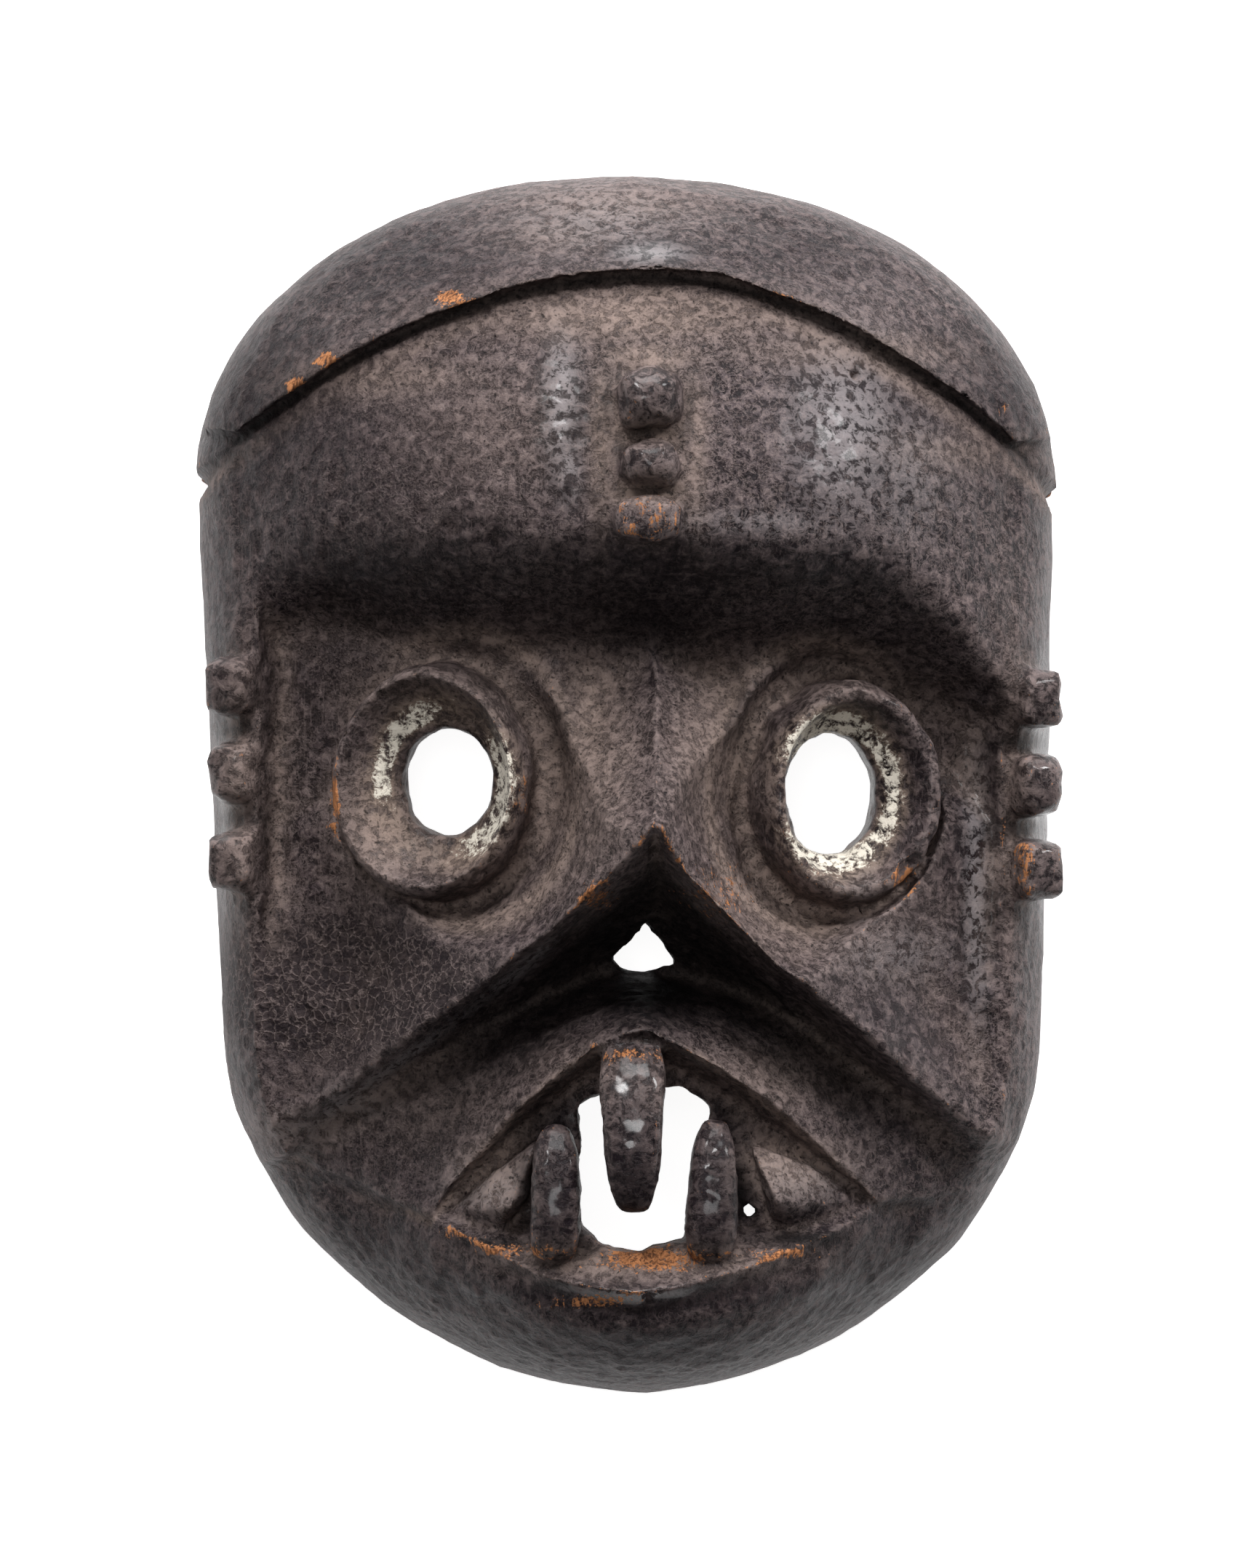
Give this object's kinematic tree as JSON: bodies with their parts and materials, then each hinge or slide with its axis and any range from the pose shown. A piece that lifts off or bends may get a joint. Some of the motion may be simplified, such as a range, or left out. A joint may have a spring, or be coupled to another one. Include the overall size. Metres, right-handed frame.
{
  "type": "ibibio mask",
  "caption": "Hollow carved wooden face mask with tube eyes, a notched nose, bared teeth and a raised cap band, lying on its back rim.",
  "frame": {"origin": "under the middle of the mask's box, on the flat plane of the back rim, which is the surface the mask lies on", "axes": "+Z out of the face, away from the rim; +Y up the face to the crown, the longest way; +X to the viewer's right"},
  "size_m": [0.1982, 0.281, 0.113],
  "materials": {
    "dark_wood": "old dark patina, worn and polished on the raised edges"
  },
  "bodies": {
    "root": {"mask": "dark_wood"}
  },
  "joints": []
}
